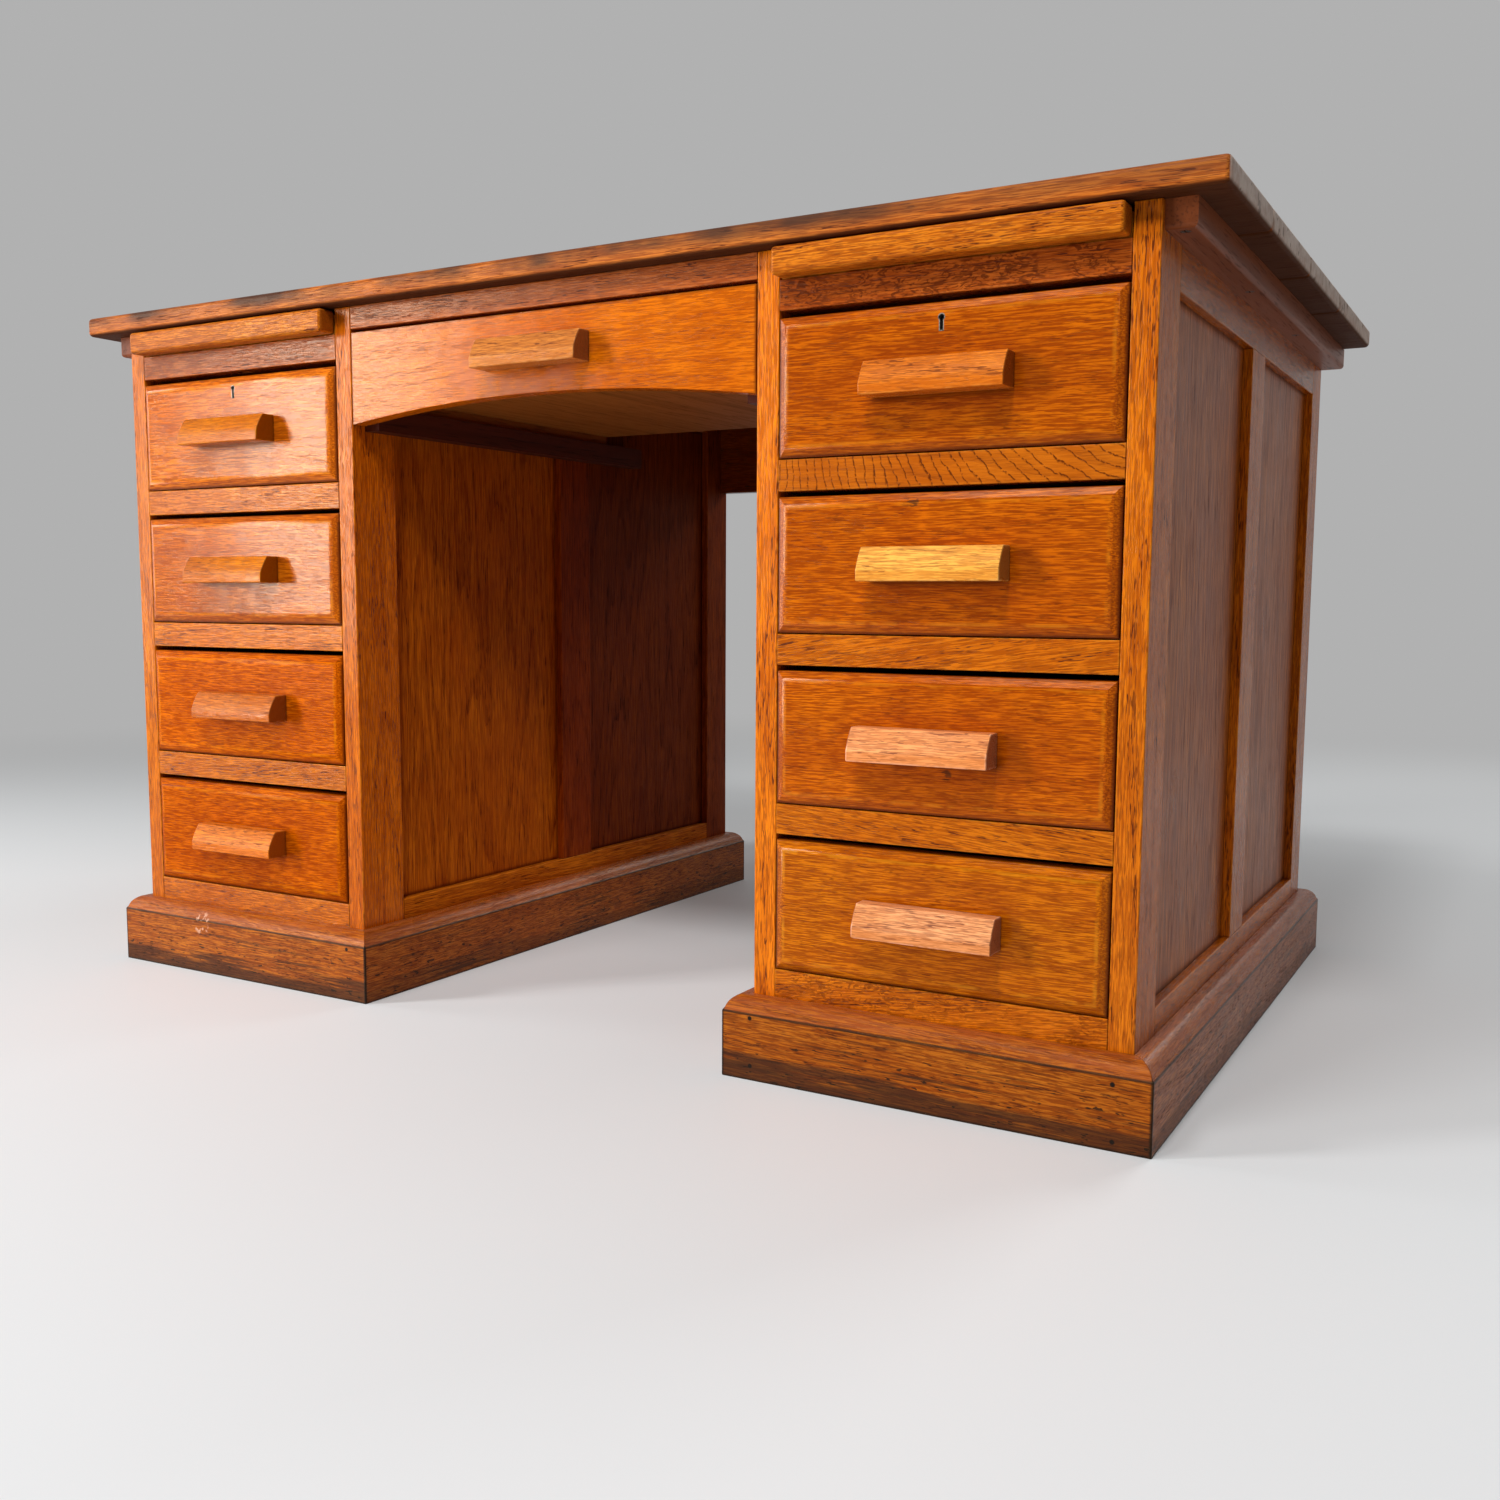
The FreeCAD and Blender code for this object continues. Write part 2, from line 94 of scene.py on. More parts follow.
def shade_faces(piece):
    """Shade a piece smooth over its roundings and flat on its faces."""
    bpy.ops.object.select_all(action="DESELECT")
    piece.select_set(True)
    bpy.context.view_layer.objects.active = piece
    bpy.ops.object.shade_smooth_by_angle(angle=smooth_below)
    apply_modifier(piece, "WEIGHTED_NORMAL", keep_sharp=True)


def ease_arrises(piece, width, steps=3, sharper_than=30):
    """Round the sharp edges of a piece and shade it."""
    round_arrises(piece, width, steps, sharper_than)
    shade_faces(piece)


def mark_grain(piece, way, stain, figure=(0, 0, 0), slope=0.0):
    """Store a board's grain, stain, limits and figure on its points, where its finish reads them."""
    number = next(board_numbers)
    shade = 1 + shade_spread * math.sin(2.4 * number)
    points = np.array([point.co for point in piece.data.vertices])
    low, high = points.min(0), points.max(0)
    drift = grain_drift * math.sin(5.1 * number) + slope
    turning = Vector(along_x if way == along_y else along_y)
    grain = Vector(way) + drift * Vector(way).cross(turning)
    marks = (
        ("way", "FLOAT_VECTOR", "vector", way),
        ("grain", "FLOAT_VECTOR", "vector", grain.normalized()),
        ("middle", "FLOAT_VECTOR", "vector", (low + high) / 2),
        ("half", "FLOAT_VECTOR", "vector", (high - low) / 2),
        ("figure", "FLOAT_VECTOR", "vector", figure),
        ("stain", "FLOAT_COLOR", "color", (*(shade * part for part in stain), 1)),
        ("number", "FLOAT", "value", (number,)),
    )
    for name, kind, field, value in marks:
        layer = piece.data.attributes.new(name, kind, "POINT")
        layer.data.foreach_set(field, np.tile(np.array(value, np.float32), len(points)))
    return piece


def plank(low, high, way, stain, ease=frame_ease, figure=(0, 0, 0), slope=0.0):
    """Planed board with eased arrises, its grain along one axis or at a small slope to it."""
    board = block("board", low, high)
    ease_arrises(board, ease)
    return mark_grain(board, way, stain, figure, slope)


def glue_up(name, boards, finish, node, body):
    """Make boards one piece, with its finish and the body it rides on."""
    bpy.ops.object.select_all(action="DESELECT")
    for board in boards:
        board.select_set(True)
    bpy.context.view_layer.objects.active = boards[0]
    if len(boards) > 1:
        bpy.ops.object.join()
    piece = bpy.context.view_layer.objects.active
    piece.name = name
    piece.data.materials.clear()
    piece.data.materials.append(finish)
    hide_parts(node)
    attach(piece, body)
    return piece


class Finish:
    """A socket in a material's nodes. Sums on values add Math nodes beside it."""

    def __init__(self, tree, socket=None):
        self.tree = tree
        self.socket = socket

    def node(self, kind, settings=None, sockets=None, output=0):
        """Add a node of any kind: its settings first, then the values or links of its sockets."""
        made = self.tree.nodes.new(kind)
        for name, value in (settings or {}).items():
            setattr(made, name, value)
        for name, value in (sockets or {}).items():
            if isinstance(value, Finish):
                self.tree.links.new(value.socket, made.inputs[name])
            else:
                made.inputs[name].default_value = value
        return Finish(self.tree, made.outputs[output])

    def math(self, operation, *values):
        return self.node("ShaderNodeMath", {"operation": operation}, dict(enumerate(values)))

    def vector(self, operation, *values, output=0):
        sockets = dict(enumerate((self, *values)))
        return self.node("ShaderNodeVectorMath", {"operation": operation}, sockets, output)

    def times(self, factor):
        sockets = {0: self, "Scale": factor}
        return self.node("ShaderNodeVectorMath", {"operation": "SCALE"}, sockets)

    def to(self, other, share):
        """This colour mixed towards another one."""
        sockets = {0: share, 6: self, 7: other}
        return self.node("ShaderNodeMix", {"data_type": "RGBA"}, sockets, 2)

    def between(self, low, high):
        """0 below low and 1 above high, with a soft step between them."""
        sockets = {"Value": self, "From Min": low, "From Max": high}
        return self.node("ShaderNodeMapRange", {"interpolation_type": "SMOOTHSTEP"}, sockets)

    def least(self, other):
        return self.math("MINIMUM", self, other)

    def most(self, other):
        return self.math("MAXIMUM", self, other)

    def size(self):
        return self.math("ABSOLUTE", self)

    def cycle(self):
        """Rising from 0 to 1 within each whole number."""
        return self.math("FRACT", self)

    def __add__(self, other):
        return self.math("ADD", self, other)

    def __sub__(self, other):
        return self.math("SUBTRACT", self, other)

    def __rsub__(self, other):
        return self.math("SUBTRACT", other, self)

    def __mul__(self, other):
        return self.math("MULTIPLY", self, other)

    __radd__ = __add__
    __rmul__ = __mul__


class Wood:
    """What a board's finish can read at a point: place, grain, stain, figure and distances to edges."""

    def __init__(self, tree):
        self.sheet = Finish(tree)
        self.place = self.sheet.node("ShaderNodeTexCoord", output="Object")
        facing = self.sheet.node("ShaderNodeTexCoord", output="Normal")
        self.grain = self.stored("grain", "Vector")
        self.stain = self.stored("stain", "Color")
        apart = self.sheet.node("ShaderNodeCombineXYZ", {}, {0: 0.317, 1: 0.173, 2: 0.239})
        moved = self.place.vector("ADD", apart.times(self.stored("number", "Fac")))
        self.lengthways = self.grain.times(moved.vector("DOT_PRODUCT", self.grain, output="Value"))
        self.across = moved.vector("SUBTRACT", self.lengthways)
        self.local = self.place.vector("SUBTRACT", self.stored("middle", "Vector"))
        self.half = self.stored("half", "Vector")
        room = self.half.vector("SUBTRACT", self.local.vector("ABSOLUTE"))
        x, y, z = self.parts(room)
        self.from_edge = x.least(y).most(x.most(y).least(z))
        way = self.stored("way", "Vector")
        self.from_end = room.vector("DOT_PRODUCT", way, output="Value")
        end = facing.vector("DOT_PRODUCT", way, output="Value")
        self.end_grain = end.size().between(0.6, 0.85)
        self.runout, self.curl, self.cathedral = self.parts(self.stored("figure", "Vector"))

    def stored(self, name, output):
        return self.sheet.node("ShaderNodeAttribute", {"attribute_name": name}, {}, output)

    def parts(self, vector):
        """The three parts of a vector."""
        split = self.sheet.node("ShaderNodeSeparateXYZ", {}, {0: vector}).socket.node
        return [Finish(self.sheet.tree, socket) for socket in split.outputs]

    def fibres(self, across, along, detail=2.0, bend=0.0):
        """Noise drawn out along the grain, in repeats per metre across and along it."""
        spot = self.across.times(across).vector("ADD", self.lengthways.times(along))
        sockets = {"Vector": spot, "Scale": 1.0, "Detail": detail, "Roughness": 0.6, "Distortion": bend}
        return self.sheet.node("ShaderNodeTexNoise", {}, sockets)

    def patches(self, per_metre, detail=2.0):
        """Cloudy noise without a grain."""
        sockets = {"Vector": self.place, "Scale": per_metre, "Detail": detail, "Roughness": 0.6}
        return self.sheet.node("ShaderNodeTexNoise", {}, sockets)

    def tint(self, red, green, blue):
        """The stain made lighter or deeper."""
        return self.stain.vector("MULTIPLY", (red, green, blue))

    def spots(self, places, radius):
        """1 within a small radius of any of a few places, such as nail holes, and 0 elsewhere."""
        nearest = self.place.vector("DISTANCE", places[0], output="Value")
        for place in places[1:]:
            nearest = nearest.least(self.place.vector("DISTANCE", place, output="Value"))
        return 1 - nearest.between(radius * 0.6, radius)


def oak_finish(name, roughness=0.27, shine=0.1, lines=0.62, pores=0.8, rings=0.25, dashes=48, relief=1.0,
               rub_and_glint=0.5, wear=None):
    """Varnished oak: stain, rings, lines in dashes, pores, end grain, rubbed arrises, a painted highlight
    where they are strong, and a soft gloss.
    """
    material = bpy.data.materials.new(name)
    material.use_nodes = True
    tree = material.node_tree
    shader = tree.nodes["Principled BSDF"]
    wood = Wood(tree)
    cloud = wood.patches(11, 3).between(0.34, 0.66)
    band = wood.fibres(45, 1.8, 2, 0.6).between(0.36, 0.66)
    colour = wood.tint(1.03, 1.02, 0.9).to(wood.tint(1.27, 1.5, 1.8), cloud * 0.6 + band * 0.4)
    deep = wood.tint(0.5, 0.34, 0.3)
    black = wood.tint(0.2, 0.13, 0.25)
    rows = wood.fibres(7, 0.7, 2) * 22 + wood.fibres(60, 6, 1) * 0.9
    early = rows.cycle().between(0.45, 0.95)
    line = wood.fibres(860, dashes, 2, 0.25).between(0.42, 0.56)
    plain = 1 - wood.runout * 0.7
    pore = wood.fibres(950, dashes * 1.7, 1, 0.3).between(0.55, 0.62) * (0.45 + 0.55 * early) * plain
    colour = colour.to(deep, early * (rings + wood.cathedral * 0.22))
    colour = colour.to(deep, line * plain * lines)
    colour = colour.to(black, pore * pores)
    x, y, z = wood.parts(wood.local)
    start = x + wood.parts(wood.half)[0]
    waver = wood.patches(42, 2) * 1.3 + wood.patches(260) * 0.3
    arc = start * 145 - start * start * 155 + start * z * 380 + waver
    runout = arc.cycle().between(0.78, 0.94) * wood.patches(420, 1).between(0.3, 0.5) * wood.runout
    colour = colour.to(black, runout * 0.9)
    curl = wood.fibres(170, 60, 2, 2.8).between(0.48, 0.58) * wood.patches(18, 2).between(0.36, 0.56)
    colour = colour.to(black, curl * wood.curl * 0.75)
    colour = colour.to(wood.tint(0.46, 0.4, 0.5), wood.end_grain * 0.75)
    joint = (1 - wood.from_end.between(0.0002, 0.0011)) * (1 - wood.end_grain)
    colour = colour.to(wood.tint(0.1, 0.07, 0.15), joint * 0.85)
    # Pale arrises: rubbed wear, and a painted highlight where their share is strong.
    rubbed = (1 - wood.from_edge.between(0.0003, 0.0022)) * wood.patches(75).between(0.4, 0.65)
    colour = colour.to(wood.tint(1.3, 1.9, 3.5), rubbed * rub_and_glint)
    gloss = roughness * (0.75 + wood.patches(9) * 0.5 + pore * 0.6 + early * 0.12)
    if wear:
        colour, gloss = wear(wood, colour, gloss)
    ripple = wood.fibres(170, 9, 2, 0.6)
    fine = line * 0.25 + pore * 0.4 + runout * 0.4
    height = wood.patches(24, 1) * 1.4 + ripple * 0.5 - fine * relief
    bump = wood.sheet.node("ShaderNodeBump", {}, {"Strength": 0.4, "Distance": 0.0007, "Height": height})
    tree.links.new(colour.socket, shader.inputs["Base Color"])
    tree.links.new(gloss.socket, shader.inputs["Roughness"])
    tree.links.new(bump.socket, shader.inputs["Normal"])
    shader.inputs["Specular IOR Level"].default_value = shine
    shader.inputs["Specular Tint"].default_value = varnish_tint
    return material


frame_oak = oak_finish("frame_oak", roughness=0.22, shine=0.16, lines=0.6, pores=1.0, dashes=44)
kneehole_oak = oak_finish("kneehole_oak", roughness=0.4, shine=0.03, pores=0.9, rings=0.2, dashes=24)
for side, which in itertools.product(sides, ("outer", "inner")):
    node = f"{side}_{which}_frame"
    low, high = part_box(node)
    stains = (frame_stain, frame_stain, frame_stain, frame_stain, shaded_top_rail_stain)
    if which == "inner":
        stains = (kneehole_stile_stains[side], *inner_shaded_stains)
    front = low.y + stile_width
    rear = high.y - rear_stile_width
    muntin = (front + rear - muntin_width) / 2
    panel_low = low.z + bottom_rail_height
    panel_high = high.z - top_rail_height
    boards = [
        plank(low, (high.x, front, high.z), along_z, stains[0]),
        plank((low.x, rear, low.z), high, along_z, stains[1]),
        plank((low.x, muntin, panel_low), (high.x, muntin + muntin_width, panel_high), along_z, stains[2]),
        plank((low.x, front, low.z), (high.x, rear, panel_low), along_y, stains[3]),
        plank((low.x, front, panel_high), (high.x, rear, high.z), along_y, stains[4]),
    ]
    if which == "inner":
        glue_up(f"{side}_inner_front_stile", boards[:1], frame_oak, node, "carcass")
        glue_up(f"{side}_inner_side", boards[1:], kneehole_oak, node, "carcass")
    else:
        glue_up(f"{side}_outer_side", boards, frame_oak, node, "carcass")

# Panels of the framed sides: thin oak boards with an upright grain, let into grooves in the frames and
# left loose so that they can swell. Those in the kneehole are stained darker, the rear one near black:
# painted shade.
panel_thickness = 0.008
panel_recess = 0.009
panel_stain = (0.50, 0.125, 0.012)
# Kneehole panels, front then rear; the rear colour also serves the back rail: painted shade.
kneehole_shaded_stains = ((0.46, 0.094, 0.002), (0.17, 0.024, 0.0005))
panel_ease = 0.0003


def dust_and_shade_border(wood, colour, gloss):
    """Dust and old polish caught round a panel where it meets its frame, with painted shade of its recess.
    """
    border = (1 - wood.from_edge.between(0.0008, 0.0055)) * wood.cathedral
    return colour.to(wood.tint(0.2, 0.15, 0.2), border * 0.75), gloss + border * 0.2


panel_oak = oak_finish("panel_oak", roughness=0.3, shine=0.18, lines=0.95, pores=0.95, dashes=15,
                       wear=dust_and_shade_border)
kneehole_panel_oak = oak_finish("kneehole_panel_oak", roughness=0.4, shine=0.03, pores=0.9, rings=0.2,
                                dashes=24, wear=dust_and_shade_border)
for side, which in itertools.product(sides, ("outer", "inner")):
    low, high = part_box(f"{side}_{which}_frame")
    outward = 1 if (side == "right") == (which == "outer") else -1
    face = (high.x if outward > 0 else low.x) - outward * panel_recess
    back = face - outward * panel_thickness
    front = low.y + stile_width
    rear = high.y - rear_stile_width
    muntin = (front + rear - muntin_width) / 2
    stains = (panel_stain, panel_stain) if which == "outer" else kneehole_shaded_stains
    panels = []
    for (start, end), stain in zip(((front, muntin), (muntin + muntin_width, rear)), stains):
        corner = (min(face, back), start, low.z + bottom_rail_height)
        opposite = (max(face, back), end, high.z - top_rail_height)
        panels.append(plank(corner, opposite, along_z, stain, panel_ease, figure=(0, 0, 1)))
    finish = panel_oak if which == "outer" else kneehole_panel_oak
    glue_up(f"{side}_{which}_panels", panels, finish, f"{side}_side_panels", "carcass")

# Backs of the pedestals: a rail above and below a thin panel, set between the rear stiles and finished
# like the sides.
boards = []
for side in sides:
    inner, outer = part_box(f"{side}_inner_frame"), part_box(f"{side}_outer_frame")
    left, right = sorted((inner, outer), key=lambda box: box[0].x)
    start, end = left[1].x, right[0].x
    panel_low = left[0].z + bottom_rail_height
    panel_high = left[1].z - top_rail_height
    rail_front = left[1].y - (left[1].x - left[0].x)
    rear = left[1].y
    boards.append(plank((start, rail_front, left[0].z), (end, rear, panel_low), along_x, frame_stain))
    boards.append(plank((start, rail_front, panel_high), (end, rear, left[1].z), along_x, frame_stain))
    panel_back = rear - panel_recess
    corner = (start, panel_back - panel_thickness, panel_low)
    opposite = (end, panel_back, panel_high)
    boards.append(plank(corner, opposite, along_z, panel_stain, panel_ease, figure=(0, 0, 1)))
glue_up("backs", boards, panel_oak, "pedestal_backs", "carcass")

# Front rails of the pedestals: a sill, rails between the drawers and one under the slide, tenoned into
# the front stiles and planed flush with them.
rail_height = 0.0275
slide_rail_height = 0.0265
rail_ease = 0.0008
drawer_gap = 0.001
mortise_gap = 0.0012
mortise_depth = 0.008
overrun = 0.002
drawer_levels = ("bottom", "third", "second", "top")
rail_stain = (0.565, 0.127, 0.003)
slide_rail_stain = (0.40, 0.075, 0.006)
ringed_stain = (0.44, 0.094, 0.003)
rail_looks = {
    "left": (
        (rail_stain, (0, 0.3, 0), 0.0), (rail_stain, (0, 0, 0), 0.03), (rail_stain, (0, 0, 0), 0.0),
        (rail_stain, (0, 0.25, 0), -0.02), (slide_rail_stain, (0, 0.3, 0), 0.0),
    ),
    "right": (
        (rail_stain, (0, 0.8, 0), 0.1), (rail_stain, (0, 0, 0), -0.09), (rail_stain, (0, 0, 0), 0.12),
        (ringed_stain, (1, 0, 0), 0.0), (slide_rail_stain, (0, 1, 0), 0.0),
    ),
}


def cut(piece, cutter):
    """Take a cutter's volume out of a piece, and remove the cutter."""
    apply_modifier(piece, "BOOLEAN", operation="DIFFERENCE", solver="EXACT", object=cutter)
    bpy.data.objects.remove(cutter)


rail_oak = oak_finish("rail_oak", roughness=0.2, shine=0.16, lines=0.65, pores=1.0, dashes=44)
for side in sides:
    low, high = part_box(f"{side}_front_rails")
    inner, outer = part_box(f"{side}_inner_frame"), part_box(f"{side}_outer_frame")
    left, right = sorted((inner, outer), key=lambda box: box[0].x)
    sills = [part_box(f"{side}_{level}_drawer_front")[0].z - drawer_gap for level in drawer_levels]
    spans = [(low.z, sills[0])] + [(sill - rail_height, sill) for sill in sills[1:]]
    spans.append((high.z - slide_rail_height, high.z))
    boards = []
    for (bottom, top), (stain, figure, slope) in zip(spans, rail_looks[side]):
        corner = (left[1].x, low.y, bottom)
        board = block("board", corner, (right[0].x, high.y, top))
        round_arrises(board, rail_ease, 3, 30)
        if top == high.z:
            bolt_low, bolt_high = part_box(f"{side}_lock_bolt")
            gap = Vector((mortise_gap, mortise_gap, 0))
            mouth = Vector((bolt_low.x, bolt_low.y, bottom - overrun)) - gap
            opposite = Vector((bolt_high.x, bolt_high.y, bottom + mortise_depth)) + gap
            cut(board, block("mortise", mouth, opposite))
        shade_faces(board)
        boards.append(mark_grain(board, along_x, stain, figure, slope))
    glue_up(f"{side}_rails", boards, rail_oak, f"{side}_front_rails", "carcass")

# Plinths: four oak boards round the foot of each pedestal, mitred at the corners, with an ovolo and a
# small step worked along the upper edge. Shoes and mops have scuffed them dark near the floor.
moulding_height = 0.014
moulding_width = 0.0125
moulding_step = 0.0013
moulding_bulge = 0.0026
moulding_rows = 7
plinth_ease = 0.0007
plinth_stain = (0.43, 0.103, 0.006)
# Plinth side boards stained darker than the fronts: painted shade.
plinth_side_shaded_stain = (0.37, 0.090, 0.008)
plinth_low, plinth_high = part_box("left_plinth")
plinth_shoulder = plinth_high.z - moulding_height
nail_face = plinth_low.y
scuff_place = (-0.484, nail_face, 0.058)
nail_marks = ((0.586, 0.055), (0.587, 0.008), (0.2536, 0.058), (0.254, 0.0135), (-0.251, 0.057))
nail_holes = [(across, nail_face, height) for across, height in nail_marks]
nail_radius = 0.0026
scuff_radius = 0.016


def pick(piece, wanted, kind="VERT"):
    """Enter edit mode with just those points, edges or faces selected whose points all pass a test."""
    bpy.context.view_layer.objects.active = piece
    bpy.ops.object.mode_set(mode="EDIT")
    bpy.ops.mesh.select_mode(type=kind)
    bpy.ops.mesh.select_all(action="DESELECT")
    bpy.ops.object.mode_set(mode="OBJECT")
    points = piece.data.vertices
    groups = {"VERT": points, "EDGE": piece.data.edges, "FACE": piece.data.polygons}
    for item in groups[kind]:
        ends = (item,) if kind == "VERT" else (points[index] for index in item.vertices)
        item.select = all(wanted(point.co) for point in ends)
    bpy.ops.object.mode_set(mode="EDIT")


def slice_across(piece, place, normal, keep_below=False):
    """Cut new edges where a plane crosses a piece, or cut off what lies beyond the plane."""
    bpy.context.view_layer.objects.active = piece
    bpy.ops.object.mode_set(mode="EDIT")
    bpy.ops.mesh.select_all(action="SELECT")
    bpy.ops.mesh.bisect(plane_co=place, plane_no=normal, use_fill=keep_below, clear_outer=keep_below)
    bpy.ops.object.mode_set(mode="OBJECT")


def plinth_board(length, thickness, height):
    """Moulded board against a face of this length on the X axis, its outside towards -Y."""
    half = length / 2
    board = block("board", (-half - thickness, -thickness, 0), (half + thickness, 0, height))
    shoulder = height - moulding_height
    tiny = moulding_step / 20
    rows = [(shoulder, 0.0), (shoulder + tiny, moulding_step)]
    for row in range(1, moulding_rows + 1):
        share = row / moulding_rows
        swell = moulding_bulge * 4 * share * (1 - share)
        back = moulding_step + share * (moulding_width - moulding_step) - swell * 0.78
        rows.append((shoulder + share * moulding_height + swell * 0.62, back))
    for level, back in rows[:-1]:
        slice_across(board, (0, 0, level), (0, 0, 1))
    for level, back in rows:
        pick(board, lambda point: point.y < -thickness / 2 and abs(point.z - level) < tiny / 4)
        bpy.ops.transform.translate(value=(0, back, 0))
        bpy.ops.object.mode_set(mode="OBJECT")
    for end in (-1, 1):
        slice_across(board, (end * half, 0, 0), (end, 1, 0), True)
    ease_arrises(board, plinth_ease, 2, 50)
    return board


def scuffed_shaded_highlit(wood, colour, gloss):
    """Dark scuffs along the floor, streaks, chips, nail holes, a paler moulding as a painted highlight,
    dirt and painted shade in its quirk, painted shade along the foot and dark joints at the mitres.
    """
    height = wood.parts(wood.place)[2]
    ragged = wood.fibres(120, 7, 4, 0.3) * 0.07
    sideways = wood.parts(wood.stored("way", "Vector"))[1]
    dark = (1 - (height + ragged).between(0.047, 0.063)) * (1 - sideways * 0.45)
    streak = wood.fibres(260, 6, 3, 0.3).between(0.54, 0.62) * wood.patches(12, 2).between(0.36, 0.58)
    chips = wood.fibres(300, 80, 2).between(0.64, 0.68) * (1 - height.between(0.03, 0.075))
    moulded = height.between(plinth_shoulder, plinth_shoulder + 0.001)
    colour = colour.to((0.034, 0.012, 0.007, 1), dark * 0.82)
    colour = colour.to((0.04, 0.013, 0.006, 1), streak * (0.8 - height.between(0.03, 0.06) * 0.4))
    # The moulding made paler and pinker: painted highlight.
    colour = colour.to((0.46, 0.11, 0.035, 1), moulded * wood.fibres(200, 8, 2).between(0.3, 0.7) * 0.4)
    colour = colour.to((0.012, 0.007, 0.005, 1), chips * 0.9)
    # Dark line in the quirk: dirt and painted shade.
    quirk = (height - plinth_shoulder).size()
    colour = colour.to((0.02, 0.009, 0.006, 1), (1 - quirk.between(0.0005, 0.0017)) * 0.85)
    colour = colour.to((0.01, 0.006, 0.005, 1), wood.spots(nail_holes, nail_radius))
    scuff = wood.spots([scuff_place], scuff_radius) * wood.patches(130, 4).between(0.52, 0.6)
    colour = colour.to((0.75, 0.42, 0.28, 1), scuff * 0.8)
    # Dark at the mitres, a dark joint, and along the foot where the board meets the floor: painted shade.
    corner = 1 - wood.from_end.between(0.0008, 0.0028)
    foot = 1 - height.between(0.0006, 0.003)
    colour = colour.to((0.008, 0.005, 0.004, 1), foot.most(corner) * 0.85)
    return colour, gloss + dark * 0.15 - moulded * 0.08


plinth_oak = oak_finish("plinth_oak", roughness=0.34, shine=0.14, lines=0.8, pores=0.9, wear=scuffed_shaded_highlit)
for side in sides:
    low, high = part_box(f"{side}_plinth")
    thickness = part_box(f"{side}_outer_frame")[0].y - low.y
    width = high.x - low.x - 2 * thickness
    depth = high.y - low.y - 2 * thickness
    middle = (low + high) / 2
    turns = (
        (width, 0, (middle.x, low.y + thickness, 0), along_x),
        (depth, 90, (high.x - thickness, middle.y, 0), along_y),
        (width, 180, (middle.x, high.y - thickness, 0), along_x),
        (depth, 270, (low.x + thickness, middle.y, 0), along_y),
    )
    boards = []
    for length, turn, place, way in turns:
        board = plinth_board(length, thickness, high.z)
        board.rotation_euler.z = math.radians(turn)
        board.location = place
        bpy.ops.object.transform_apply(location=True, rotation=True, scale=True)
        stain = plinth_stain if way == along_x else plinth_side_shaded_stain
        boards.append(mark_grain(board, way, stain))
    glue_up(f"{side}_plinth_boards", boards, plinth_oak, f"{side}_plinth", "carcass")

# Rails across the kneehole: a shallow one above the centre drawer and a deep one at the back, both
# screwed between the pedestals.
front_rail_depth = 0.022
front_rail_height = 0.0235
back_rail_thickness = 0.018
centre_rail_stain = (0.38, 0.078, 0.012)
low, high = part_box("kneehole_rails")
front_end = Vector((high.x, low.y + front_rail_depth, high.z))
boards = [
    plank((low.x, low.y, high.z - front_rail_height), front_end, along_x, centre_rail_stain),
    # The back rail takes the near-black rear kneehole colour: painted shade.
    plank((low.x, high.y - back_rail_thickness, low.z), high, along_x, kneehole_shaded_stains[1]),
]
glue_up("kneehole_cross_rails", boards, frame_oak, "kneehole_rails", "carcass")

# Top: four oak boards glued edge to edge, its outer edges rounded over. The varnish on it is worn, and
# dark stains run in from the front edge.
seam_shares = (0.21, 0.45, 0.69)
top_radius = 0.005
seam_ease = 0.0005
top_stain = (0.52, 0.13, 0.014)
stain_start, stain_full = 0.748, 0.762
top_low, top_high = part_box("desktop_boards")


def stained_and_shaded_top(wood, colour, gloss):
    """Dark stains along the upper edges, painted shade on the underside, weathered ends and a dulled
    writing surface.
    """
    x, y, height = wood.parts(wood.place)
    inset = (x - top_low.x).least(top_high.x - x).least((y - top_low.y).least(top_high.y - y))
    blotch = wood.patches(4, 4).between(0.36, 0.54) * (1 - x.between(0.3, 0.5) * 0.5)
    up = (height + wood.fibres(60, 14, 3) * 0.016).between(stain_start, stain_full)
    near = 1 - (inset + wood.patches(25, 3) * 0.02).between(0.013, 0.026)
    worn = wood.patches(6, 4).between(0.42, 0.68) * height.between(top_high.z - 0.001, top_high.z)
    grey = wood.patches(90, 3).between(0.3, 0.7)
    crack = wood.patches(70, 2).between(0.6, 0.64)
    colour = colour.to(wood.tint(0.62, 0.5, 0.5), worn * 0.6)
    colour = colour.to((0.045, 0.02, 0.014, 1), blotch * up * near * 0.92)
    weathered = wood.end_grain * (0.6 + grey * 0.35)
    colour = colour.to((0.58, 0.46, 0.385, 1), weathered)
    colour = colour.to((0.1, 0.055, 0.035, 1), wood.end_grain * crack * 0.6)
    # The underside darkened: painted shade.
    underside_shade = 1 - height.between(top_low.z + 0.001, top_low.z + 0.004)
    colour = colour.to(wood.tint(0.09, 0.09, 0.28), underside_shade * 0.95)
    return colour, gloss + blotch * 0.1 + underside_shade * 0.3 + wood.end_grain * 0.35


def on_rim(point):
    """True at the ends, the front and the back of the top."""
    inset = (point.x - top_low.x, top_high.x - point.x, point.y - top_low.y, top_high.y - point.y)
    return min(inset) < top_radius / 4


